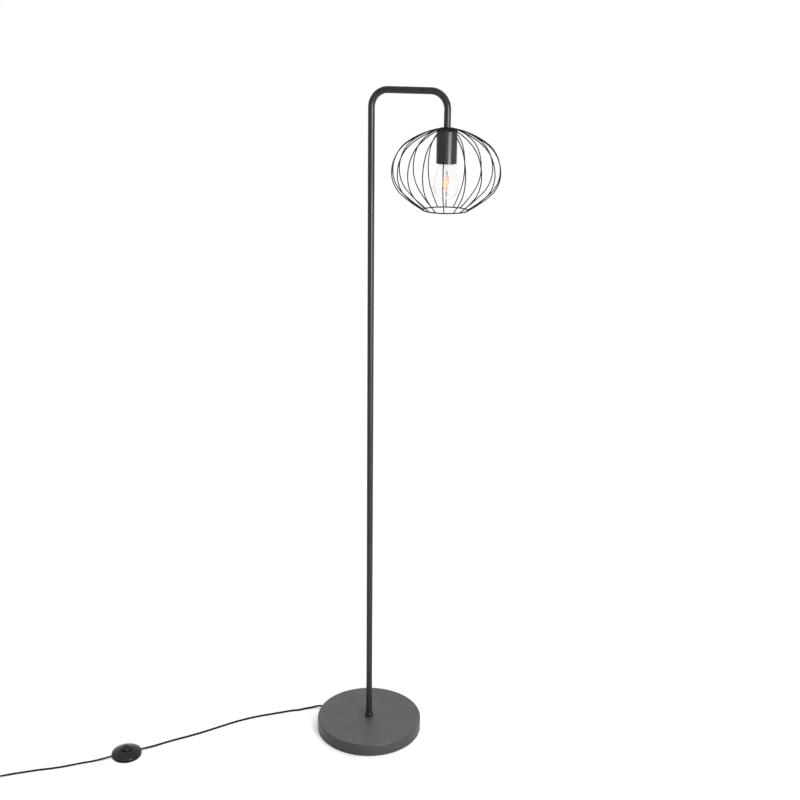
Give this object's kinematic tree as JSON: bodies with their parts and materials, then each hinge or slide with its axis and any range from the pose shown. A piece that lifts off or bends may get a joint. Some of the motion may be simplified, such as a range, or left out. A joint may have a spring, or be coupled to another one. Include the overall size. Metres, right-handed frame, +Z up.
{
  "type": "floor lamp",
  "caption": "Slim black floor lamp: round weighted base, sectioned tube pole, bent arm and an open wire cage shade round a clear bulb, with a foot switch on its lead.",
  "frame": {"origin": "on the floor, at the pole's axis, in the middle of the base's underside", "axes": "+Z up along the pole; +X along the arm, from the pole to the hanging head"},
  "size_m": [1.1818, 0.8581, 1.7],
  "materials": {
    "frame_black": "satin powder coat",
    "cast_weight": "as cast, unpainted",
    "base_pad": "soft foam rubber",
    "zinc_steel": "zinc plated",
    "holder_plastic": "moulded",
    "contact_brass": "plain",
    "bulb_glass": "clear",
    "bulb_metal": "nickel plated",
    "filament": "yellow coated",
    "cord_sheath": "smooth flexible sheath",
    "boot_rubber": "moulded",
    "clamp_plastic": "moulded",
    "switch_shell": "satin moulded"
  },
  "bodies": {
    "lamp": {"base_cover": "frame_black", "foot_collar": "frame_black", "pole_lower": "frame_black", "pole_middle": "frame_black", "pole_upper": "frame_black", "pole_arm": "frame_black", "shade_plate": "frame_black", "shade_lower_ring": "frame_black", "holder_cup": "frame_black", "shade_rib_01": "frame_black", "shade_rib_02": "frame_black", "shade_rib_03": "frame_black", "shade_rib_04": "frame_black", "shade_rib_05": "frame_black", "shade_rib_06": "frame_black", "shade_rib_07": "frame_black", "shade_rib_08": "frame_black", "shade_rib_09": "frame_black", "shade_rib_10": "frame_black", "shade_rib_11": "frame_black", "shade_rib_12": "frame_black", "shade_rib_13": "frame_black", "shade_rib_14": "frame_black", "shade_rib_15": "frame_black", "shade_rib_16": "frame_black", "shade_rib_17": "frame_black", "shade_rib_18": "frame_black", "base_weight": "cast_weight", "base_pad": "base_pad", "base_stud": "zinc_steel", "pole_end_bushes": "zinc_steel", "pole_joint_pipes": "zinc_steel", "pipe_nuts": "zinc_steel", "pipe_washers": "zinc_steel", "holder_nipple": "zinc_steel", "cord_clamp_screws": "zinc_steel", "switch_screws": "zinc_steel", "switch_spring": "zinc_steel", "holder_cap": "holder_plastic", "holder_body": "holder_plastic", "holder_thread_shell": "contact_brass", "holder_contact": "contact_brass", "plug_pins": "contact_brass", "cord_inside_lamp": "cord_sheath", "cord_base_to_switch": "cord_sheath", "cord_switch_to_coil": "cord_sheath", "cord_coil": "cord_sheath", "plug_body": "cord_sheath", "cord_boot": "boot_rubber", "cord_clamp": "clamp_plastic", "cord_tie": "clamp_plastic", "switch_contact_block": "clamp_plastic", "switch_top": "switch_shell", "switch_bottom": "switch_shell"},
    "button": {"switch_button": "switch_shell"},
    "bulb_thread": {"bulb_contact": "bulb_metal"},
    "bulb": {"bulb_glass": "bulb_glass", "bulb_cap": "bulb_metal", "bulb_stem": "bulb_glass", "bulb_filaments": "filament"}
  },
  "joints": [
    {"name": "button_press", "type": "slide", "parent": "lamp", "child": "button", "axis": [0, 0, -1], "range_m": [0, 0.0035], "stiffness_N_per_m": 600, "springref_m": -0.003, "deforming": ["switch_spring"]},
    {"name": "bulb_travel", "type": "slide", "parent": "lamp", "child": "bulb_thread", "axis": [0, 0, -1], "range_m": [0, 0.0181]},
    {"name": "bulb_turn", "type": "hinge", "parent": "bulb_thread", "child": "bulb", "pos_m": [0.184, 0, 1.5325], "axis": [0, 0, -1], "range_deg": [0, 1800]}
  ],
  "couplings": [
    {"joint": "bulb_turn", "follows": "bulb_travel", "rad_per_m": 1731.4}
  ]
}
